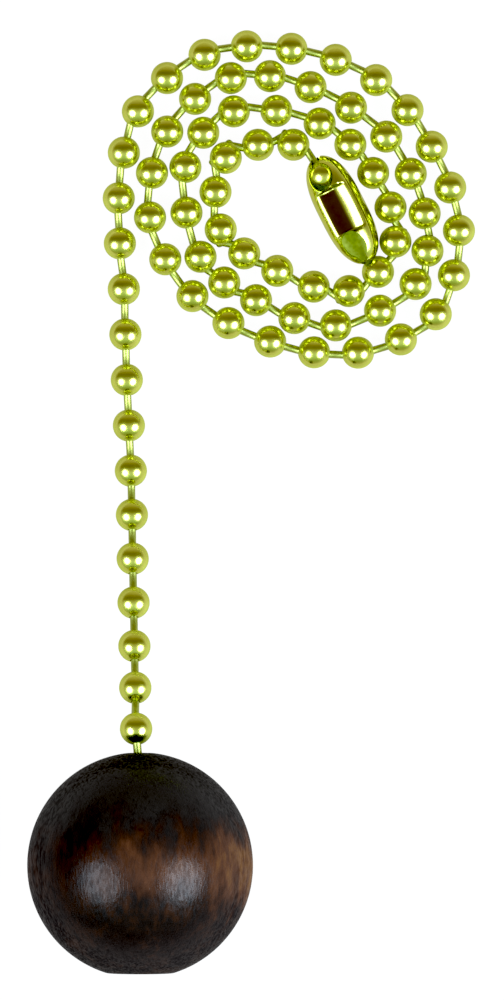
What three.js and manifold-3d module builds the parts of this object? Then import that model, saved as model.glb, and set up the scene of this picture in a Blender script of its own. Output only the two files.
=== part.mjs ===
// Pull chain for a lamp or ceiling fan: a brass bead chain with a turned wooden ball on one end
// and a stamped brass connector on the other, lying loose on a table.
// Millimetres, +Z up. The table is z = 0, and the origin is below the middle of the laid-out chain.
// The ball lies towards -Y, the chain runs straight to +Y and then winds clockwise into a loose coil.

import * as THREE from 'three';
import { mergeVertices } from 'three/addons/utils/BufferGeometryUtils.js';
import Module from 'manifold-3d';

const wasm = await Module();
wasm.setup();

// Wooden ball: a 7/8 inch ball with a sanded flat opposite its hole.
const BALL_DIAMETER = 22.2;
const BALL_CENTRE_XY = [-11.0, -35.9];
const BALL_BASE_FROM_CENTRE = 10.6;
const BALL_REST_SPOT_RADIUS = 2.0;
const BALL_HOLE_RADIUS = 0.85;
const BALL_HOLE_DEPTH = 4.0;
const BALL_SIDES = 36;
const BALL_STEPS_PER_HALF = 7;

// Chain: hollow beads 1/8 inch across on short wire links, 74 of them in runs of two.
const BEAD_DIAMETER = 3.2;
const BEADS_PER_RUN = 2;
const CHAIN_SIDES = 8;
const BEAD_STEPS_PER_HALF = 2;
const WIRE_DIAMETER = 0.76;
const BALL_WIRE_DIAMETER = 0.8;
const WIRE_IN_BALL = 2.4;
const WIRE_IN_SOCKET = 0.25;
const SOCKET_DIAMETER = 0.96;
const SOCKET_DEPTH = 0.4;

// From the hole in the ball the chain comes down to the table along a shallow curve.
const DESCENT_LENGTH = 28;
const DESCENT_HEIGHT = 8.8;
const DESCENT_POWER = 1.5;

// Where the first bead of each run lies, from the ball round the coil to the connector.
const RUN_STARTS = [
  [-11.4, -22.5], [-11.6, -14.4], [-11.8, -5.8], [-12.0, 2.9], [-12.4, 11.9], [-12.7, 20.9],
  [-13.2, 29.9], [-11.3, 38.5], [-4.7, 44.1], [3.9, 44.7], [12.3, 41.6], [17.8, 35.0],
  [20.5, 26.7], [18.2, 18.4], [10.5, 14.6], [1.8, 15.7], [-5.9, 20.2], [-10.1, 28.0],
  [-8.4, 36.5], [-2.1, 41.8], [5.8, 40.9], [13.3, 36.0], [17.1, 28.4], [16.2, 21.4],
  [8.3, 17.3], [0.4, 19.8], [-5.1, 24.1], [-6.6, 33.0], [-1.8, 38.5], [6.7, 37.3],
  [12.0, 32.4], [14.2, 25.6], [9.6, 20.7], [2.5, 22.7], [-3.1, 26.8], [-2.6, 33.9],
  [4.1, 35.2],
];

// Connector: a spindle-shaped shell of sheet brass, open in two windows, one at each end, with the
// bridge between them pressed in to a hollow. The slot over the tip is wider where the chain pulls.
const CONNECTOR_LENGTH = 11.7;
const CONNECTOR_DIAMETER = 4.74;
const CONNECTOR_BLUNTNESS = 3;
const CONNECTOR_WALL = 0.25;
const CONNECTOR_CENTRE_XY = [8.95, 28.73];
const CONNECTOR_HEADING = -63.3;
const CONNECTOR_ROLL = 18;
const CONNECTOR_SIDES = 16;
const CONNECTOR_STEPS = 12;
const WINDOW_LENGTH = 2.9;
const WINDOW_WIDTH = 2.3;
const WINDOW_FROM_MIDDLE = 3.65;
const WINDOW_STEPS = 12;
const FREE_SLOT_WIDTH = 0.9;
const HELD_SLOT_WIDTH = 1.9;
const TIP_SLOT_BELOW_AXIS = 0.8;
const HOLLOW_RADIUS = 2.2;
const HOLLOW_FLOOR_FROM_AXIS = 1.3;
const HOLLOW_TURN = 18;
const HOLLOW_STRAIGHT_LENGTH = 4.4;
const HOLLOW_END_LENGTH = 0.55;
const HOLLOW_SIDES = 36;
const HOLLOW_END_STEPS = 3;
const HELD_BEAD_FROM_MIDDLE = 3.7;

const brass = new THREE.MeshStandardMaterial({ color: 0xb5a632, roughness: 0.16, metalness: 1.0 });
const wood = new THREE.MeshStandardMaterial({ color: 0x3a1e12, roughness: 0.38, metalness: 0.0 });

const UP = new THREE.Vector3(0, 0, 1);
const beadRadius = BEAD_DIAMETER / 2;
const ballRadius = BALL_DIAMETER / 2;
const connectorRadius = CONNECTOR_DIAMETER / 2;
const radians = THREE.MathUtils.degToRad;

// A closed geometry becomes a solid once its shared vertices are merged.
function toSolid(geometry) {
  geometry.deleteAttribute('normal');
  geometry.deleteAttribute('uv');
  const merged = mergeVertices(geometry);
  return new wasm.Manifold(new wasm.Mesh({
    numProp: 3,
    vertProperties: new Float32Array(merged.attributes.position.array),
    triVerts: new Uint32Array(merged.index.array),
  }));
}

function toMesh(name, solid, material) {
  const { vertProperties, triVerts } = solid.getMesh();
  const geometry = new THREE.BufferGeometry();
  geometry.setAttribute('position', new THREE.BufferAttribute(vertProperties, 3));
  geometry.setIndex(new THREE.BufferAttribute(triVerts, 1));
  geometry.computeVertexNormals();
  const mesh = new THREE.Mesh(geometry, material);
  mesh.name = name;
  return mesh;
}

// A frame whose Y points along the chain and whose Z leans as little as it can from straight up.
function chainFrame(centre, direction) {
  const side = new THREE.Vector3().crossVectors(direction, UP).normalize();
  const lifted = new THREE.Vector3().crossVectors(side, direction);
  return new THREE.Matrix4().makeBasis(side, direction, lifted).setPosition(centre);
}

// Half outlines of a sphere: points from one angle off its far pole, through the widest place.
function sphereOutline(radius, startAngle, endAngle, stepsPerHalf) {
  const widest = Math.PI / 2;
  const outline = [];
  for (let step = 0; step <= 2 * stepsPerHalf; step++) {
    const share = step / stepsPerHalf - 1;
    const angle = THREE.MathUtils.lerp(widest, share < 0 ? startAngle : endAngle, Math.abs(share));
    outline.push(new THREE.Vector2(radius * Math.sin(angle), radius * Math.cos(angle)));
  }
  return outline;
}

// The wooden ball, lathed round its hole: flat base, round side, then the hole itself.
function woodenBallSolid(centre) {
  const baseAngle = Math.acos(-BALL_BASE_FROM_CENTRE / ballRadius);
  const holeAngle = Math.asin(BALL_HOLE_RADIUS / ballRadius);
  const side = sphereOutline(ballRadius, baseAngle, holeAngle, BALL_STEPS_PER_HALF);
  const holeFloor = ballRadius * Math.cos(holeAngle) - BALL_HOLE_DEPTH;
  const outline = [
    new THREE.Vector2(0, -BALL_BASE_FROM_CENTRE),
    ...side,
    new THREE.Vector2(BALL_HOLE_RADIUS, holeFloor),
    new THREE.Vector2(0, holeFloor),
  ];
  const ball = toSolid(new THREE.LatheGeometry(outline, BALL_SIDES).translate(...centre));
  const table = new THREE.BoxGeometry(BALL_DIAMETER, BALL_DIAMETER, 1).translate(centre.x, centre.y, -0.5);
  return ball.subtract(toSolid(table));
}

// Height of a bead's centre above the table, at a distance from the first bead.
function chainHeight(distance) {
  const left = Math.max(0, 1 - distance / DESCENT_LENGTH);
  return beadRadius + DESCENT_HEIGHT * left ** DESCENT_POWER;
}

// The connector's own frame: X from the held bead to the free end, Z out of the windows.
function connectorFrame() {
  const frame = new THREE.Matrix4().makeTranslation(...CONNECTOR_CENTRE_XY, connectorRadius);
  frame.multiply(new THREE.Matrix4().makeRotationZ(radians(CONNECTOR_HEADING)));
  return frame.multiply(new THREE.Matrix4().makeRotationX(radians(CONNECTOR_ROLL)));
}

// Every bead's centre: the run starts, a bead half way along the curve between each two,
// and the last bead inside the connector.
function beadCentres(heldBead) {
  const flat = RUN_STARTS.map(([x, y]) => new THREE.Vector3(x, y, 0));
  flat.push(new THREE.Vector3(heldBead.x, heldBead.y, 0));
  const curve = new THREE.CatmullRomCurve3(flat, false, 'catmullrom', 0.5);
  const centres = [];
  for (let bead = 0; bead < RUN_STARTS.length * BEADS_PER_RUN - 1; bead++) {
    const centre = curve.getPoint(bead / BEADS_PER_RUN / (flat.length - 1));
    centre.z = chainHeight(centre.distanceTo(flat[0]));
    centres.push(centre);
  }
  centres.push(heldBead);
  return centres;
}

// The frames of the wire end in the ball and then of every bead. A bead points from the one before
// it to the one after it, and the held bead turns half way to the connector's own axis.
function allChainFrames(wireEnd, connectorPlace) {
  const heldBead = new THREE.Vector3(-HELD_BEAD_FROM_MIDDLE, 0, 0).applyMatrix4(connectorPlace);
  const stops = [wireEnd, ...beadCentres(heldBead)];
  const frames = [chainFrame(wireEnd, new THREE.Vector3(0, 1, 0))];
  for (let bead = 1; bead < stops.length - 1; bead++) {
    const direction = new THREE.Vector3().subVectors(stops[bead + 1], stops[bead - 1]).normalize();
    frames.push(chainFrame(stops[bead], direction));
  }
  const pull = new THREE.Vector3().subVectors(heldBead, stops[stops.length - 2]).normalize();
  const axis = new THREE.Vector3(1, 0, 0).transformDirection(connectorPlace);
  frames.push(chainFrame(heldBead, pull.add(axis).normalize()));
  return frames;
}

// A shell of revolution round X, from the connector's half length and its middle radius.
function spindleSolid(halfLength, radius) {
  const profile = [];
  for (let step = 0; step <= CONNECTOR_STEPS; step++) {
    const along = -Math.cos(Math.PI * step / CONNECTOR_STEPS);
    const width = Math.sqrt(Math.max(0, 1 - Math.abs(along) ** CONNECTOR_BLUNTNESS));
    profile.push(new THREE.Vector2(radius * width, halfLength * along));
  }
  return toSolid(new THREE.LatheGeometry(profile, CONNECTOR_SIDES).rotateZ(-Math.PI / 2));
}

// What is cut out of one end: an oval window down to the hollow, and a slot over the tip.
function windowSolid(slotWidth) {
  const oval = new THREE.Shape();
  oval.absellipse(WINDOW_FROM_MIDDLE, 0, WINDOW_LENGTH / 2, WINDOW_WIDTH / 2, 0, 2 * Math.PI);
  const ovalCut = new THREE.ExtrudeGeometry(oval, {
    depth: connectorRadius,
    bevelEnabled: false,
    curveSegments: WINDOW_STEPS,
  });
  const slotLength = CONNECTOR_LENGTH / 2 + 1 - WINDOW_FROM_MIDDLE;
  const slotHeight = connectorRadius + TIP_SLOT_BELOW_AXIS;
  const slotCut = new THREE.BoxGeometry(slotLength, slotWidth, slotHeight);
  slotCut.translate(WINDOW_FROM_MIDDLE + slotLength / 2, 0, slotHeight / 2 - TIP_SLOT_BELOW_AXIS);
  return toSolid(ovalCut).add(toSolid(slotCut));
}

// The form that presses the hollow: round, straight over the bridge and closed off at both ends.
// Grown by the sheet's thickness it gives the underside of the hollow.
function hollowSolid(grown) {
  const outline = [];
  for (const end of [-1, 1]) {
    for (let step = 0; step <= HOLLOW_END_STEPS; step++) {
      const share = (end < 0 ? step : HOLLOW_END_STEPS - step) / HOLLOW_END_STEPS;
      const angle = share * Math.PI / 2;
      const along = HOLLOW_STRAIGHT_LENGTH / 2 + (HOLLOW_END_LENGTH + grown) * Math.cos(angle);
      outline.push(new THREE.Vector2((HOLLOW_RADIUS + grown) * Math.sin(angle), end * along));
    }
  }
  const form = new THREE.LatheGeometry(outline, HOLLOW_SIDES).rotateZ(-Math.PI / 2);
  form.translate(0, 0, HOLLOW_FLOOR_FROM_AXIS + HOLLOW_RADIUS).rotateX(radians(-HOLLOW_TURN));
  return toSolid(form);
}

function connectorSolid(frame) {
  const outside = spindleSolid(CONNECTOR_LENGTH / 2, connectorRadius).subtract(hollowSolid(0));
  const inside = spindleSolid(CONNECTOR_LENGTH / 2 - CONNECTOR_WALL, connectorRadius - CONNECTOR_WALL)
    .subtract(hollowSolid(CONNECTOR_WALL));
  const freeWindow = windowSolid(FREE_SLOT_WIDTH);
  const heldWindow = windowSolid(HELD_SLOT_WIDTH).mirror([1, 0, 0]);
  const shell = outside.subtract(inside).subtract(freeWindow).subtract(heldWindow);
  return shell.transform(frame.elements);
}

// One run of chain is lathed straight, as rings round the chain, and each ring is then carried to
// its own bead. The run starts as a socket in its first bead, or for the first run as the wire end
// in the ball, and its last wire reaches into the socket of the next run.
function chainRunSolid(run, frames) {
  const firstBead = run * BEADS_PER_RUN + 1;
  const lastBead = firstBead + BEADS_PER_RUN - 1;
  const wireRadius = WIRE_DIAMETER / 2;
  const socketRadius = SOCKET_DIAMETER / 2;
  const ballWireRadius = BALL_WIRE_DIAMETER / 2;
  const socketFloor = SOCKET_DEPTH - beadRadius;
  const rings = [];
  const addRing = (frame, radius, along) => rings.push({ frame, radius, along });
  if (run === 0) {
    addRing(frames[0], 0, 0);
    addRing(frames[0], ballWireRadius, 0);
  } else {
    addRing(frames[firstBead], 0, socketFloor);
    addRing(frames[firstBead], socketRadius, socketFloor);
  }
  for (let bead = firstBead; bead <= lastBead; bead++) {
    const openingRadius = run === 0 ? ballWireRadius : socketRadius;
    const startAngle = Math.PI - Math.asin((bead === firstBead ? openingRadius : wireRadius) / beadRadius);
    const endAngle = bead < frames.length - 1 ? Math.asin(wireRadius / beadRadius) : 0;
    for (const point of sphereOutline(beadRadius, startAngle, endAngle, BEAD_STEPS_PER_HALF)) {
      addRing(frames[bead], point.x, point.y);
    }
  }
  if (lastBead < frames.length - 1) {
    addRing(frames[lastBead + 1], wireRadius, WIRE_IN_SOCKET - beadRadius);
    addRing(frames[lastBead + 1], 0, WIRE_IN_SOCKET - beadRadius);
  }
  const outline = rings.map(({ radius, along }) => new THREE.Vector2(radius, along));
  const geometry = new THREE.LatheGeometry(outline, CHAIN_SIDES);
  const places = geometry.attributes.position;
  const place = new THREE.Vector3();
  for (let vertex = 0; vertex < places.count; vertex++) {
    place.fromBufferAttribute(places, vertex).applyMatrix4(rings[vertex % rings.length].frame);
    places.setXYZ(vertex, ...place);
  }
  return toSolid(geometry);
}

const ballHeight = Math.sqrt(ballRadius ** 2 - BALL_REST_SPOT_RADIUS ** 2);
const ballCentre = new THREE.Vector3(...BALL_CENTRE_XY, ballHeight);
const wireEnd = ballCentre.clone().add(new THREE.Vector3(0, ballRadius - WIRE_IN_BALL, 0));
const connectorPlace = connectorFrame();
const chainFrames = allChainFrames(wireEnd, connectorPlace);

const pullChain = new THREE.Group();
pullChain.add(toMesh('wooden_ball', woodenBallSolid(ballCentre), wood));
for (let run = 0; run < RUN_STARTS.length; run++) {
  const name = `chain_run_${String(run + 1).padStart(2, '0')}`;
  pullChain.add(toMesh(name, chainRunSolid(run, chainFrames), brass));
}
pullChain.add(toMesh('connector', connectorSolid(connectorPlace), brass));

export default pullChain;
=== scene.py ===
"""Pull chain for a lamp or ceiling fan, laid loose on a pale table and seen from straight above.

A dark turned wooden ball, a brass bead chain wound into a coil and a stamped brass connector.
Metres, +Z up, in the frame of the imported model: the ball lies towards -Y, the coil towards +Y.
"""

import math

import bmesh
import bpy
from mathutils import Matrix, Vector


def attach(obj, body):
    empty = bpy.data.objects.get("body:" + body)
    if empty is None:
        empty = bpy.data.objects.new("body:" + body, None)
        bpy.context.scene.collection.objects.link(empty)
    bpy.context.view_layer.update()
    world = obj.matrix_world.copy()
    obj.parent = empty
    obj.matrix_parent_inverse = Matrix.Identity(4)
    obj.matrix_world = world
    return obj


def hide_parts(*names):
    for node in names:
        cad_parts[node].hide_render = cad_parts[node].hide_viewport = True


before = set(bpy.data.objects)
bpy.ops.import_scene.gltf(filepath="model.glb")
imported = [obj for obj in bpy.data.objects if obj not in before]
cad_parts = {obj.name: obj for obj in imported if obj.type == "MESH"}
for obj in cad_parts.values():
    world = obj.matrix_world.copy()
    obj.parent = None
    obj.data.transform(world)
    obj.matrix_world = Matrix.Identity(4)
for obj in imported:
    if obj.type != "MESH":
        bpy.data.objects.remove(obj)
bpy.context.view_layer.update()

# The wooden ball is turned from close-grained hardwood, drilled along the grain for the chain's
# wire and sanded flat at the far end. It is stained almost black, with painted light in a
# reddish-brown belt round its middle where the softboxes fall on it, and its satin lacquer is hazy
# where it is seen at a slant.
mm = 0.001
touching = 1e-7
crease_angle = math.radians(40)
ball_radius = 11.1 * mm
ball_centre = Vector((-11.0, -35.9, 10.918)) * mm
ball_base_from_centre = 10.6 * mm
ball_hole_radius = 0.85 * mm
ball_hole_depth = 4.0 * mm
countersink_radius = 1.2 * mm
countersink_depth = 0.4 * mm
eased_edge = 0.1 * mm


def draw_line(bm, start, place):
    """Draws a straight edge of a half outline, and gives its new end."""
    end = bm.verts.new(place)
    bm.edges.new((start, end))
    return end


def swing(bm, start, angle, steps):
    """Swings a point of a half outline round the middle of the piece, and gives the arc's end."""
    swung = bmesh.ops.spin(
        bm, geom=[start], cent=(0, 0, 0), axis=(0, 0, 1), dvec=(0, 0, 0), angle=angle, steps=steps
    )
    return next(part for part in swung["geom_last"] if isinstance(part, bmesh.types.BMVert))


def turn_round_y(bm, steps):
    """Turns the half outline in a bmesh into a solid round the Y axis."""
    bmesh.ops.spin(
        bm,
        geom=bm.verts[:] + bm.edges[:],
        cent=(0, 0, 0),
        axis=(0, 1, 0),
        dvec=(0, 0, 0),
        angle=math.tau,
        steps=steps,
        use_merge=True,
    )
    bmesh.ops.remove_doubles(bm, verts=bm.verts, dist=touching)
    bmesh.ops.recalc_face_normals(bm, faces=bm.faces)


def finished_piece(bm, name, materials, node):
    """Makes a bmesh a smooth-shaded object that stands for a CAD node on the one rigid body."""
    for face in bm.faces:
        face.smooth = True
    mesh = bpy.data.meshes.new(name)
    bm.to_mesh(mesh)
    bm.free()
    mesh.set_sharp_from_angle(angle=crease_angle)
    for material in materials:
        mesh.materials.append(material)
    piece = bpy.data.objects.new(name, mesh)
    bpy.context.scene.collection.objects.link(piece)
    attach(piece, "root")
    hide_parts(node)


ball = bmesh.new()
base_middle = ball.verts.new((0, -ball_base_from_centre, 0))
base_angle = -math.asin(ball_base_from_centre / ball_radius)
base_edge = draw_line(
    ball, base_middle, (ball_radius * math.cos(base_angle), -ball_base_from_centre, 0)
)
mouth_angle = math.acos(countersink_radius / ball_radius)
mouth = swing(ball, base_edge, mouth_angle - base_angle, steps=72)
mouth_height = ball_radius * math.sin(mouth_angle)
throat = draw_line(ball, mouth, (ball_hole_radius, mouth_height - countersink_depth, 0))
bottom_edge = draw_line(ball, throat, (ball_hole_radius, mouth_height - ball_hole_depth, 0))
draw_line(ball, bottom_edge, (0, mouth_height - ball_hole_depth, 0))
turn_round_y(ball, steps=112)

# the corners round the sanded flat and the countersink are eased with fine paper
corner_heights = (-ball_base_from_centre, mouth_height)
outside_hole = 1.1 * ball_hole_radius
turned_corners = [
    edge
    for edge in ball.edges
    if any(
        all(abs(vert.co.y - height) < touching for vert in edge.verts)
        for height in corner_heights
    )
    and all(math.hypot(vert.co.x, vert.co.z) > outside_hole for vert in edge.verts)
]
bmesh.ops.bevel(
    ball,
    geom=turned_corners,
    offset=eased_edge,
    affect="EDGES",
    segments=3,
    profile=0.5,
    material=-1,
)

# a small flat underneath keeps the ball from rolling
rest_spot = bmesh.ops.bisect_plane(
    ball,
    geom=ball.verts[:] + ball.edges[:] + ball.faces[:],
    dist=touching,
    plane_co=(0, 0, -ball_centre.z),
    plane_no=(0, 0, -1),
    clear_outer=True,
)
bmesh.ops.edgeloop_fill(
    ball, edges=[part for part in rest_spot["geom_cut"] if isinstance(part, bmesh.types.BMEdge)]
)
bmesh.ops.translate(ball, vec=ball_centre, verts=ball.verts)


def set_inputs(tree, node, inputs):
    """Gives the inputs of a shader node their values or links."""
    for name, value in inputs.items():
        if isinstance(value, bpy.types.NodeSocket):
            tree.links.new(value, node.inputs[name])
        else:
            node.inputs[name].default_value = value


def add_node(tree, kind, inputs, output, **settings):
    """Adds a shader node with its settings and inputs, and gives one of its outputs."""
    node = tree.nodes.new(kind)
    for name, value in settings.items():
        setattr(node, name, value)
    set_inputs(tree, node, inputs)
    return node.outputs[output]


def new_material(name):
    """A material with an empty Principled shader, its tree and the surface's own coordinates."""
    material = bpy.data.materials.new(name)
    material.use_nodes = True
    tree = material.node_tree
    shader = tree.nodes["Principled BSDF"]
    place = add_node(tree, "ShaderNodeTexCoord", {}, "Object")
    return material, tree, shader, place


def split(tree, vector):
    """The X and Y of a place or a direction."""
    across = add_node(tree, "ShaderNodeSeparateXYZ", {"Vector": vector}, "X")
    return across, across.node.outputs["Y"]


def noise(tree, place, scale, detail, roughness=0.5, distortion=0.0):
    """A cloudy pattern, with its scale in clouds per metre."""
    inputs = {
        "Vector": place,
        "Scale": scale,
        "Detail": detail,
        "Roughness": roughness,
        "Distortion": distortion,
    }
    return add_node(tree, "ShaderNodeTexNoise", inputs, "Fac")


def fade(tree, value, low, high, at_low=0.0, at_high=1.0, curve="LINEAR"):
    """Fades from one value to another while its input goes from low to high."""
    inputs = {
        "Value": value,
        "From Min": low,
        "From Max": high,
        "To Min": at_low,
        "To Max": at_high,
    }
    return add_node(tree, "ShaderNodeMapRange", inputs, "Result", interpolation_type=curve)


def calculate(tree, operation, *values):
    """Works out a sum from values or links."""
    inputs = dict(enumerate(values))
    return add_node(tree, "ShaderNodeMath", inputs, "Value", operation=operation)


def ramp(tree, factor, stops):
    """A colour ramp from (position, colour) stops."""
    colour = add_node(tree, "ShaderNodeValToRGB", {"Fac": factor}, "Color")
    elements = colour.node.color_ramp.elements
    while len(elements) < len(stops):
        elements.new(0.5)
    for element, (position, rgb) in zip(elements, stops):
        element.position = position
        element.color = (*rgb, 1)
    return colour


def mix_colours(tree, share, colour, other, blend="MIX"):
    """Lays a share of another colour over a colour."""
    inputs = {0: share, 6: colour, 7: other}
    return add_node(tree, "ShaderNodeMix", inputs, 2, data_type="RGBA", blend_type=blend)


def haze(tree, roughness, low, high, added):
    """Roughens a lacquer where it is seen at a slant."""
    slant = add_node(tree, "ShaderNodeLayerWeight", {"Blend": 0.5}, "Facing")
    hazy = fade(tree, slant, low, high, at_high=added, curve="SMOOTHSTEP")
    return calculate(tree, "ADD", roughness, hazy)


def embossed(tree, height, strength, distance):
    """The fine relief of a surface."""
    inputs = {"Height": height, "Strength": strength, "Distance": distance}
    return add_node(tree, "ShaderNodeBump", inputs, "Normal")


stained_wood, tree, shader, place = new_material("stained_wood")
centred = add_node(
    tree, "ShaderNodeMapping", {"Vector": place, "Location": -ball_centre}, "Vector"
)
along_grain = add_node(
    tree, "ShaderNodeMapping", {"Vector": centred, "Scale": (1, 0.28, 1)}, "Vector"
)
blotches = noise(tree, centred, scale=260, detail=4, roughness=0.6, distortion=0.4)
grain = noise(tree, along_grain, scale=1700, detail=4, roughness=0.65, distortion=0.4)
pores = noise(tree, along_grain, scale=4200, detail=2)
streaks = noise(tree, along_grain, scale=800, detail=3)

# painted light: the belt is lighter from the middle rightwards, towards the stronger softbox, and
# lighter again at the right rim for the table's bounce; its two edges run out in streaks
streak_reach = 1.6 * mm
ball_across, ball_along = split(tree, centred)
streak_end = fade(tree, streaks, low=0.3, high=0.7, at_low=-streak_reach, at_high=streak_reach)
height = calculate(tree, "ADD", ball_along, streak_end)
waist = fade(tree, height, low=-6.0 * mm, high=1.5 * mm, curve="SMOOTHSTEP")
crown = fade(
    tree, height, low=-0.5 * mm, high=5.5 * mm, at_low=1.0, at_high=0.0, curve="SMOOTHSTEP"
)
right_side = fade(
    tree, ball_across, low=-7.0 * mm, high=-2.0 * mm, at_low=0.1, at_high=1.15, curve="SMOOTHSTEP"
)
far_right = fade(tree, ball_across, low=6.0 * mm, high=10.0 * mm, at_high=1.1)
painted_light_across = calculate(tree, "ADD", right_side, far_right)
painted_light_belt = calculate(tree, "MULTIPLY", waist, crown)
painted_light = calculate(tree, "MULTIPLY", painted_light_belt, painted_light_across)
mottle = calculate(tree, "ADD", blotches, grain)
painted_light_mottle = calculate(tree, "MULTIPLY", painted_light, mottle)
painted_light_strength = 1.2
mottle_and_painted_light = calculate(tree, "MULTIPLY_ADD", painted_light_mottle, painted_light_strength, mottle)

# the more painted light, the lighter and redder the brown, while towards the crown the colour
# evens out to a dark grey-brown
black_stain = (0.0160, 0.0120, 0.0110)
thinned_stain = (0.0205, 0.0155, 0.0140)
dark_brown = (0.0340, 0.0195, 0.0150)
reddish_brown = (0.0680, 0.0330, 0.0215)
lightest_lit_brown = (0.1350, 0.0650, 0.0280)
crown_tone = (0.0305, 0.0258, 0.0235, 1)
stain_and_painted_light = ramp(
    tree,
    fade(tree, mottle_and_painted_light, low=0.5, high=4.0),
    [
        (0.0, black_stain),
        (0.14, thinned_stain),
        (0.28, dark_brown),
        (0.57, reddish_brown),
        (1.0, lightest_lit_brown),
    ],
)
even_crown = fade(tree, height, low=0.5 * mm, high=7.0 * mm, curve="SMOOTHSTEP")
stain_painted_light_and_crown = mix_colours(tree, even_crown, stain_and_painted_light, crown_tone)
pore_shade = fade(tree, pores, low=0.32, high=0.5, at_low=0.85)
wood_colour_and_painted_light = mix_colours(tree, 1.0, stain_painted_light_and_crown, pore_shade, blend="MULTIPLY")

grain_relief = 0.6
relief = calculate(tree, "MULTIPLY_ADD", grain, grain_relief, pores)
satin = fade(tree, relief, low=0.68, high=0.92, at_low=0.38, at_high=0.12)
wood_finish = {
    "Base Color": wood_colour_and_painted_light,
    "Roughness": haze(tree, satin, low=0.3, high=0.65, added=0.44),
    "Normal": embossed(tree, relief, strength=0.5, distance=0.05 * mm),
    "Specular IOR Level": 0.12,
}
set_inputs(tree, shader, wood_finish)
finished_piece(ball, "turned_ball", [stained_wood], "wooden_ball")

# The bead chain is hollow beads of thin sheet brass, 1/8 inch across, rolled round short wire
# links. Each link is a brass wire with a head at both ends, too wide for the holes in the beads.
# It is polished, lacquered and laid down from the ball's hole to the table and round the coil.
bead_radius = 1.6 * mm
bead_wall = 0.22 * mm
bead_hole_radius = 0.47 * mm
lip_height = 0.93 * bead_radius
lip_radius = 0.94 * bead_hole_radius
inner_hole_radius = 1.15 * bead_hole_radius
wire_radius = 0.38 * mm
ball_wire_radius = 0.41 * mm
head_radius = 0.56 * mm
head_outline = [(0, -0.8), (0.6, -0.68), (0.95, -0.3), (1.0, 0.05), (0.85, 0.35)]
neck_height = 0.6 * head_radius
head_from_hole = 0.72 * mm
hole_from_centre = 0.95 * bead_radius
wire_in_ball = 2.4 * mm
descent_length = 28 * mm
descent_height = 8.8 * mm
descent_curve = 1.5
roll_per_bead = 2.4
beads_per_run = 2
# where the first bead of each run lies on the table, in mm
run_starts = [
    (-11.4, -22.5), (-11.6, -14.4), (-11.8, -5.8), (-12.0, 2.9), (-12.4, 11.9), (-12.7, 20.9),
    (-13.2, 29.9), (-11.3, 38.5), (-4.7, 44.1), (3.9, 44.7), (12.3, 41.6), (17.8, 35.0),
    (20.5, 26.7), (18.2, 18.4), (10.5, 14.6), (1.8, 15.7), (-5.9, 20.2), (-10.1, 28.0),
    (-8.4, 36.5), (-2.1, 41.8), (5.8, 40.9), (13.3, 36.0), (17.1, 28.4), (16.2, 21.4),
    (8.3, 17.3), (0.4, 19.8), (-5.1, 24.1), (-6.6, 33.0), (-1.8, 38.5), (6.7, 37.3),
    (12.0, 32.4), (14.2, 25.6), (9.6, 20.7), (2.5, 22.7), (-3.1, 26.8), (-2.6, 33.9),
    (4.1, 35.2),
]  # fmt: skip

# the last bead sits in the connector, which lies in the middle of the coil
connector_centre = Vector((8.95, 28.73, 2.37)) * mm
connector_heading = math.radians(-63.3)
connector_lean = math.radians(18)
connector_place = (
    Matrix.Translation(connector_centre)
    @ Matrix.Rotation(connector_heading, 4, "Z")
    @ Matrix.Rotation(connector_lean, 4, "X")
)
held_bead_in_connector = Vector((-3.8 * mm, -0.1 * mm, 0))
held_bead = connector_place @ held_bead_in_connector


def chain_frame(centre, direction):
    """The place of a bead whose Y points along the chain and whose Z leans least from upright."""
    side = direction.cross(Vector((0, 0, 1))).normalized()
    lifted = side.cross(direction)
    return Matrix.Translation(centre) @ Matrix((side, direction, lifted)).transposed().to_4x4()


flat_points = [Vector((x, y, 0)) * mm for x, y in run_starts]
flat_points.append(Vector((held_bead.x, held_bead.y, 0)))
padded_points = [
    2 * flat_points[0] - flat_points[1],
    *flat_points,
    2 * flat_points[-1] - flat_points[-2],
]
# a run's second bead lies half way along the smooth curve through the nearest four first beads
bead_centres = []
for number in range(len(run_starts) * beads_per_run - 1):
    run, half_way = divmod(number, beads_per_run)
    before, start, end, after = padded_points[run : run + 4]
    centre = (9 * start + 9 * end - before - after) / 16 if half_way else start.copy()
    still_to_fall = max(0, 1 - (centre - flat_points[0]).length / descent_length)
    centre.z = bead_radius + descent_height * still_to_fall ** descent_curve
    bead_centres.append(centre)
bead_centres.append(held_bead)

wire_end = ball_centre + Vector((0, ball_radius - wire_in_ball, 0))
stops = [wire_end, *bead_centres]
bead_frames = [
    chain_frame(centre, (after - before).normalized())
    for before, centre, after in zip(stops, stops[1:], stops[2:])
]
pull = (held_bead - bead_centres[-2]).normalized()
connector_axis = connector_place.to_3x3() @ Vector((1, 0, 0))
bead_frames.append(chain_frame(held_bead, (pull + connector_axis).normalized()))

half_bead = bmesh.new()
hole_angle = math.acos(bead_hole_radius / bead_radius)
rim = half_bead.verts.new(
    (bead_radius * math.cos(hole_angle), -bead_radius * math.sin(hole_angle), 0)
)
far_rim = swing(half_bead, rim, 2 * hole_angle, steps=22)
inner_radius = bead_radius - bead_wall
inner_angle = math.acos(inner_hole_radius / inner_radius)
inner_rim = half_bead.verts.new(
    (inner_radius * math.cos(inner_angle), -inner_radius * math.sin(inner_angle), 0)
)
far_inner_rim = swing(half_bead, inner_rim, 2 * inner_angle, steps=10)
lip = draw_line(half_bead, rim, (lip_radius, -lip_height, 0))
half_bead.edges.new((lip, inner_rim))
far_lip = draw_line(half_bead, far_rim, (lip_radius, lip_height, 0))
half_bead.edges.new((far_lip, far_inner_rim))
turn_round_y(half_bead, steps=44)
bead_shell = bpy.data.meshes.new("bead_shell")
half_bead.to_mesh(bead_shell)
half_bead.free()


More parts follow.
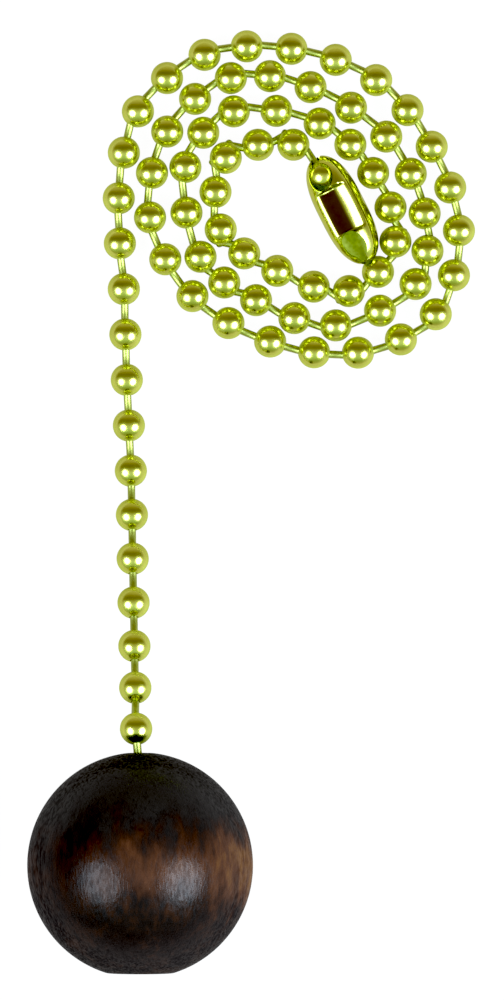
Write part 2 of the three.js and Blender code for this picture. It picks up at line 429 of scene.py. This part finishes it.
def add_copy(bm, mesh, matrix):
    """Adds a copy of a mesh to a bmesh at a place."""
    already = len(bm.verts)
    bm.from_mesh(mesh)
    bmesh.ops.transform(bm, matrix=matrix, verts=bm.verts[already:])


def add_link(bm, start, end, radius, head_at_start=True):
    """Adds a wire link between two points, with a domed head on its end and its start."""
    length = (end - start).length
    outline = [(0, 0), (radius, 0)]
    if head_at_start:
        outline = [(width * head_radius, height * head_radius) for width, height in head_outline]
        outline.append((radius, neck_height))
    outline.append((radius, length - neck_height))
    for width, height in reversed(head_outline):
        outline.append((width * head_radius, length - height * head_radius))
    link = bmesh.new()
    at = link.verts.new((*outline[0], 0))
    for point in outline[1:]:
        at = draw_line(link, at, (*point, 0))
    turn_round_y(link, steps=20)
    for face in link.faces:
        face.material_index = 1
    link_mesh = bpy.data.meshes.new("link")
    link.to_mesh(link_mesh)
    link.free()
    add_copy(bm, link_mesh, chain_frame(start, (end - start).normalized()))


def polished(name):
    """Polished and lacquered brass, a little uneven in colour, sheen and surface."""
    material, tree, shader, place = new_material(name)
    tarnish = noise(tree, place, scale=380, detail=3, roughness=0.6)
    smears = noise(tree, place, scale=1400, detail=4, roughness=0.65)
    dents = noise(tree, place, scale=900, detail=2)
    darker_brass = (0.45, 0.455, 0.105)
    lighter_brass = (0.52, 0.53, 0.130)
    brass_finish = {
        "Base Color": ramp(tree, tarnish, [(0.3, darker_brass), (0.7, lighter_brass)]),
        "Metallic": 1.0,
        "Specular Tint": (0.75, 0.78, 0.62, 1),
        "Roughness": fade(tree, smears, low=0.3, high=0.7, at_low=0.17, at_high=0.26),
        "Normal": embossed(tree, dents, strength=0.12, distance=0.04 * mm),
    }
    set_inputs(tree, shader, brass_finish)
    return material, tree, shader, place


def feeding(shader, name):
    """What is linked to an input of a shader so far."""
    return shader.inputs[name].links[0].from_socket


# the lacquer on the beads has turned hazy where it is seen at a slant
bead_brass, tree, shader, place = polished("polished_brass")
hazy_lacquer = haze(tree, feeding(shader, "Roughness"), low=0.25, high=0.6, added=0.4)
set_inputs(tree, shader, {"Roughness": hazy_lacquer})

# the wire is left as it was drawn, duller and greener than the beads
drawn_wire, tree, shader, place = new_material("drawn_wire")
draw_marks = noise(tree, place, scale=2000, detail=3)
darker_wire = (0.28, 0.305, 0.074)
lighter_wire = (0.343, 0.372, 0.097)
wire_finish = {
    "Base Color": ramp(tree, draw_marks, [(0.3, darker_wire), (0.7, lighter_wire)]),
    "Metallic": 1.0,
    "Roughness": 0.42,
}
set_inputs(tree, shader, wire_finish)

near_hole = Vector((0, -hole_from_centre, 0))
far_hole = Vector((0, hole_from_centre, 0))
for run in range(len(run_starts)):
    chain = bmesh.new()
    for number in range(run * beads_per_run, (run + 1) * beads_per_run):
        roll = Matrix.Rotation(roll_per_bead * number, 4, "Y")
        add_copy(chain, bead_shell, bead_frames[number] @ roll)
        if number + 1 < len(bead_frames):
            leaves = bead_frames[number] @ far_hole
            enters = bead_frames[number + 1] @ near_hole
            along = (enters - leaves).normalized() * head_from_hole
            add_link(chain, leaves - along, enters + along, wire_radius)
    if run == 0:
        enters = bead_frames[0] @ near_hole
        along = (enters - wire_end).normalized() * head_from_hole
        add_link(chain, wire_end, enters + along, ball_wire_radius, head_at_start=False)
    label = f"{run + 1:02d}"
    finished_piece(
        chain, f"bead_chain_{label}", [bead_brass, drawn_wire], f"chain_run_{label}"
    )

# The connector is one blank of sheet brass, stamped and rolled into a spindle with both ends
# drawn in. A window at each end lets a bead in, and a slot over the tip lets its wire out.
# The bridge between the windows is pressed in to a hollow, and the rolled seam runs beside it.
connector_half_length = 5.85 * mm
connector_radius = 2.37 * mm
connector_wall = 0.28 * mm
hull_fullness = 3
connector_eased_edge = 0.08 * mm
sharp_corner = math.radians(35)
connector_windows = [
    # which end, place of its middle, half length, half width
    (-1, 3.9 * mm, 1.3 * mm, 1.2 * mm),
    (1, 3.65 * mm, 1.4 * mm, 1.1 * mm),
]
window_turn = math.radians(9)
window_bottom = 0.4 * mm
window_bottom_spread = 0.9
window_top_spread = 1.2
slot_size = (2.2 * mm, 0.95 * mm, 3.0 * mm)
slot_from_middle = 5.6 * mm
slot_raised = 1.0 * mm
seam_turn = math.radians(-64)
seam_length = 10.6 * mm
seam_width = 0.14 * mm
seam_depth = 0.14 * mm
seam_tip_depth = 0.1 * mm
past_surface = 0.3 * mm
seam_blade_height = 4 * mm
seam_blade_raised = 2.3 * mm


def hull_radius(share):
    """The spindle's radius at a share of its half length from the middle, as part of its widest."""
    return math.sqrt(max(0.0, 1 - abs(share) ** hull_fullness))


def spindle(half_length, radius, steps):
    """A closed spindle along X."""
    bm = bmesh.new()
    at = bm.verts.new((0, -half_length, 0))
    for step in range(1, steps):
        share = -math.cos(math.pi * step / steps)
        at = draw_line(bm, at, (radius * hull_radius(share), half_length * share, 0))
    draw_line(bm, at, (0, half_length, 0))
    turn_round_y(bm, steps=144)
    bmesh.ops.rotate(
        bm, cent=(0, 0, 0), matrix=Matrix.Rotation(-math.pi / 2, 3, "Z"), verts=bm.verts
    )
    return bm


def scratch_object(bm, name):
    """Makes a bmesh an object that is only worked on, and isn't a piece yet."""
    mesh = bpy.data.meshes.new(name)
    bm.to_mesh(mesh)
    bm.free()
    made = bpy.data.objects.new(name, mesh)
    bpy.context.scene.collection.objects.link(made)
    return made


def settle(target):
    """Makes what an object's modifiers do a part of its mesh."""
    depsgraph = bpy.context.evaluated_depsgraph_get()
    result = bpy.data.meshes.new_from_object(target.evaluated_get(depsgraph))
    target.modifiers.clear()
    target.data = result


def cut(target, cutter, operation="DIFFERENCE"):
    """Cuts one closed object with another, and removes the cutter."""
    modifier = target.modifiers.new("cut", "BOOLEAN")
    modifier.operation = operation
    modifier.solver = "EXACT"
    modifier.object = cutter
    settle(target)
    bpy.data.objects.remove(cutter)


def ease_edges(target, width, sharper_than):
    """Rounds every edge of an object that is sharper than an angle."""
    easing = target.modifiers.new("easing", "BEVEL")
    easing.width = width
    easing.segments = 4
    easing.limit_method = "ANGLE"
    easing.angle_limit = sharper_than
    settle(target)


# the bridge between the windows is pressed in by a roller, and its rims stay rounded
bridge_half_length = 2.2 * mm
left_roller_radius = 4.5 * mm
right_roller_radius = 2.2 * mm
roller_floor = 1.5 * mm
roller_flat = 0.1 * mm
roller_end = 0.55 * mm
narrower_at_windows = 0.2
left_rim_rounding = 0.75 * mm
right_rim_rounding = 0.45 * mm
hollow_turn = Matrix.Rotation(math.radians(-18), 4, "X")


def press_bridge(bm, thickness):
    """Presses the roller into a spindle that lies a wall's thickness below the outside."""
    to_roller = hollow_turn.inverted()
    for vert in bm.verts:
        along, across, up = to_roller @ vert.co
        if up <= 0:
            continue
        if across > 0:
            narrowing = 1 + narrower_at_windows * (along / bridge_half_length) ** 2
            across = max(0.0, across - roller_flat) * narrowing
            radius, rounding = right_roller_radius + thickness, right_rim_rounding
        else:
            radius, rounding = left_roller_radius + thickness, left_rim_rounding
        past_end = max(0.0, abs(along) - bridge_half_length - thickness) / roller_end
        roller = roller_floor - thickness + radius * (1 + past_end ** 2)
        roller -= math.sqrt(max(0.0, radius ** 2 - across ** 2))
        overlap = max(0.0, rounding - abs(up - roller)) / rounding
        pressed = min(up, roller) - overlap ** 2 * rounding / 4
        vert.co += hollow_turn.to_3x3() @ Vector((0, 0, pressed - up))
    bmesh.ops.recalc_face_normals(bm, faces=bm.faces)


outside = spindle(connector_half_length, connector_radius, steps=150)
press_bridge(outside, thickness=0)
shell = scratch_object(outside, "shell")
lining = spindle(
    connector_half_length - connector_wall, connector_radius - connector_wall, steps=110
)
press_bridge(lining, thickness=connector_wall)
inside = scratch_object(lining, "inside")
for face in inside.data.polygons:
    face.material_index = 1

# a painted dark reflection: the hollow's left half is painted brown-black, fading out towards its
# right side
connector_brass, tree, shader, place = polished("connector_brass")
to_hollow = (connector_place @ hollow_turn).inverted()
in_hollow = {
    "Vector": place,
    "Location": to_hollow.translation,
    "Rotation": to_hollow.to_euler(),
}
hollow_along, hollow_across = split(
    tree, add_node(tree, "ShaderNodeMapping", in_hollow, "Vector")
)
from_middle = calculate(tree, "ABSOLUTE", hollow_along)
short_of_windows = fade(
    tree, from_middle, low=2.1 * mm, high=2.25 * mm, at_low=1.0, at_high=0.0, curve="SMOOTHSTEP"
)
short_of_right = fade(
    tree, hollow_across, low=0.0, high=0.5 * mm, at_low=1.0, at_high=0.0, curve="SMOOTHSTEP"
)
short_of_left = fade(
    tree, hollow_across, low=-1.7 * mm, high=-1.45 * mm, curve="SMOOTHSTEP"
)
painted_dark_reflection = calculate(
    tree, "MULTIPLY", calculate(tree, "MULTIPLY", short_of_windows, short_of_right), short_of_left
)
dark_reflection_brown = (0.10, 0.065, 0.02, 1)
brass_with_dark_reflection = mix_colours(tree, painted_dark_reflection, feeding(shader, "Base Color"), dark_reflection_brown)
set_inputs(tree, shader, {"Base Color": brass_with_dark_reflection})

# the inside was never polished, so it is duller, and its lime-green is painted paler than brass
# as painted light standing in for the light that reaches into it
dull_brass, tree, shader, place = new_material("dull_brass")
roll_marks = noise(tree, place, scale=2500, detail=3)
pale_lit_inside = (0.62, 0.68, 0.18)
paler_lit_inside = (0.88, 0.93, 0.32)
inside_finish = {
    "Base Color": ramp(tree, roll_marks, [(0.3, pale_lit_inside), (0.7, paler_lit_inside)]),
    "Metallic": 0.35,
    "Roughness": 0.3,
}
set_inputs(tree, shader, inside_finish)
for target in (shell, inside):
    target.data.materials.append(connector_brass)
    target.data.materials.append(dull_brass)
cut(shell, inside)

for end, window_middle, window_half_length, window_half_width in connector_windows:
    window = bmesh.new()
    bmesh.ops.create_cone(
        window,
        cap_ends=True,
        segments=72,
        radius1=window_bottom_spread,
        radius2=window_top_spread,
        depth=connector_radius,
    )
    bmesh.ops.scale(window, vec=(window_half_length, window_half_width, 1), verts=window.verts)
    bmesh.ops.rotate(
        window,
        cent=(0, 0, 0),
        matrix=Matrix.Rotation(end * window_turn, 3, "Z"),
        verts=window.verts,
    )
    bmesh.ops.translate(
        window,
        vec=(end * window_middle, 0, connector_radius / 2 + window_bottom),
        verts=window.verts,
    )
    cut(shell, scratch_object(window, "window"))
    slot = bmesh.new()
    bmesh.ops.create_cube(slot, size=1)
    bmesh.ops.scale(slot, vec=slot_size, verts=slot.verts)
    bmesh.ops.translate(slot, vec=(end * slot_from_middle, 0, slot_raised), verts=slot.verts)
    cut(shell, scratch_object(slot, "slot"))

# the seam is a narrow groove from tip to tip
seam = scratch_object(
    spindle(connector_half_length + past_surface, connector_radius + past_surface, steps=72),
    "seam",
)
seam_floor = scratch_object(
    spindle(connector_half_length - seam_tip_depth, connector_radius - seam_depth, steps=72),
    "seam_floor",
)
cut(seam, seam_floor)
blade = bmesh.new()
bmesh.ops.create_cube(blade, size=1)
bmesh.ops.scale(blade, vec=(seam_length, seam_width, seam_blade_height), verts=blade.verts)
bmesh.ops.translate(blade, vec=(0, 0, seam_blade_raised), verts=blade.verts)
bmesh.ops.rotate(
    blade, cent=(0, 0, 0), matrix=Matrix.Rotation(seam_turn, 3, "X"), verts=blade.verts
)
cut(seam, scratch_object(blade, "blade"), "INTERSECT")
cut(shell, seam)

ease_edges(shell, connector_eased_edge, sharp_corner)
connector = bmesh.new()
connector.from_mesh(shell.data)
bpy.data.objects.remove(shell)
bmesh.ops.transform(connector, matrix=connector_place, verts=connector.verts)
finished_piece(
    connector, "chain_connector", [connector_brass, dull_brass], "connector"
)

# The table is a plain sheet of opal acrylic that lies loose under the chain. It is lit softly
# from below, so that it stays pale and the chain throws hardly any shadow on it.
table_reach = 6
table = bmesh.new()
bmesh.ops.create_grid(table, x_segments=1, y_segments=1, size=table_reach)
table_mesh = bpy.data.meshes.new("pale_table")
table.to_mesh(table_mesh)
table.free()
pale_board, tree, shader, place = new_material("pale_board")
board_tone = noise(tree, place, scale=40, detail=2)
darker_board = (0.028, 0.028, 0.028)
lighter_board = (0.031, 0.031, 0.031)
board_finish = {
    "Base Color": ramp(tree, board_tone, [(0.3, darker_board), (0.7, lighter_board)]),
    "Emission Color": (1, 1, 1, 1),
    "Emission Strength": 0.97,
    "Roughness": 0.9,
    "Specular IOR Level": 0.1,
}
set_inputs(tree, shader, board_finish)
table_mesh.materials.append(pale_board)
pale_table = bpy.data.objects.new("pale_table", table_mesh)
bpy.context.scene.collection.objects.link(pale_table)

# Soft studio light: a round bluish softbox on each side at half height, and a pale room that
# darkens overhead behind the ceiling's edge.
softbox_distance = 4.0
softbox_size = 2.8
softbox_tint = (0.68, 0.84, 1.0)
for name, toward, radiance in (
    ("softbox_left", (-0.64, -0.265, 0.712), 12.0),
    ("softbox_right", (0.70, -0.255, 0.655), 17.0),
):
    lamp = bpy.data.lights.new(name, "AREA")
    lamp.shape = "DISK"
    lamp.size = softbox_size
    lamp.color = softbox_tint
    # the power of a disk is pi times its radiance and its area
    lamp.energy = radiance * math.pi * math.pi * (softbox_size / 2) ** 2
    softbox = bpy.data.objects.new(name, lamp)
    bpy.context.scene.collection.objects.link(softbox)
    direction = Vector(toward).normalized()
    softbox.location = direction * softbox_distance
    softbox.rotation_euler = direction.to_track_quat("Z", "Y").to_euler()

# the room's colours are given by the side of a bead that mirrors them upwards
room = bpy.data.worlds.new("studio_room")
bpy.context.scene.world = room
room.use_nodes = True
tree = room.node_tree
toward = add_node(tree, "ShaderNodeTexCoord", {}, "Generated")
raised = add_node(
    tree, "ShaderNodeVectorMath", {0: toward, 1: (0, 0, 1)}, "Vector", operation="ADD"
)
mirroring = add_node(
    tree, "ShaderNodeVectorMath", {0: raised}, "Vector", operation="NORMALIZE"
)
bead_x, bead_y = split(tree, mirroring)
room_colour = ramp(
    tree,
    fade(tree, bead_y, low=-1, high=1),
    [
        (0.07, (0.75, 0.75, 0.60)),
        (0.16, (0.52, 0.54, 0.45)),
        (0.25, (0.52, 0.66, 0.50)),
        (0.35, (0.80, 1.05, 0.95)),
        (0.44, (0.95, 1.10, 1.20)),
        (0.52, (0.70, 0.70, 0.60)),
        (0.60, (0.35, 0.33, 0.25)),
        (0.66, (0.33, 0.29, 0.20)),
        (0.73, (0.53, 0.47, 0.40)),
        (0.81, (0.80, 0.75, 0.58)),
        (0.90, (0.92, 0.88, 0.65)),
    ],
)
left_wall = (0.62, 0.57, 0.45)
right_wall = (0.95, 0.95, 0.95)
wall_colour = ramp(
    tree, fade(tree, bead_x, low=-0.7, high=0.7), [(0.0, left_wall), (1.0, right_wall)]
)
sideways = add_node(
    tree, "ShaderNodeCombineXYZ", {"X": bead_x, "Y": bead_y}, "Vector"
)
from_overhead = add_node(
    tree, "ShaderNodeVectorMath", {0: sideways}, "Value", operation="LENGTH"
)
low_down = fade(tree, from_overhead, low=0.52, high=0.82, curve="SMOOTHSTEP")
lit_room = mix_colours(tree, low_down, room_colour, wall_colour)
set_inputs(tree, tree.nodes["Background"], {"Color": lit_room, "Strength": 1.0})

# The camera looks straight down from 1.2 m, as the photograph was taken. Its lens gives a
# picture that is 99.2 mm high on the table.
camera_height = 1.2
picture_height = 99.2 * mm
film_size = 36
lens = bpy.data.cameras.new("camera")
lens.sensor_width = film_size
lens.lens = film_size * camera_height / picture_height
lens.clip_start = 0.01
lens.clip_end = 20
camera = bpy.data.objects.new("camera", lens)
camera.location = (0, 0, camera_height)
bpy.context.scene.collection.objects.link(camera)
bpy.context.scene.camera = camera

# The photograph's contrast: whites just clip, and the deepest tones go to black.
deepest_tone = 0.045
developing = bpy.context.scene.view_settings
developing.view_transform = "Standard"
developing.use_curve_mapping = True
developing.curve_mapping.black_level = (deepest_tone, deepest_tone, deepest_tone)
developing.curve_mapping.update()
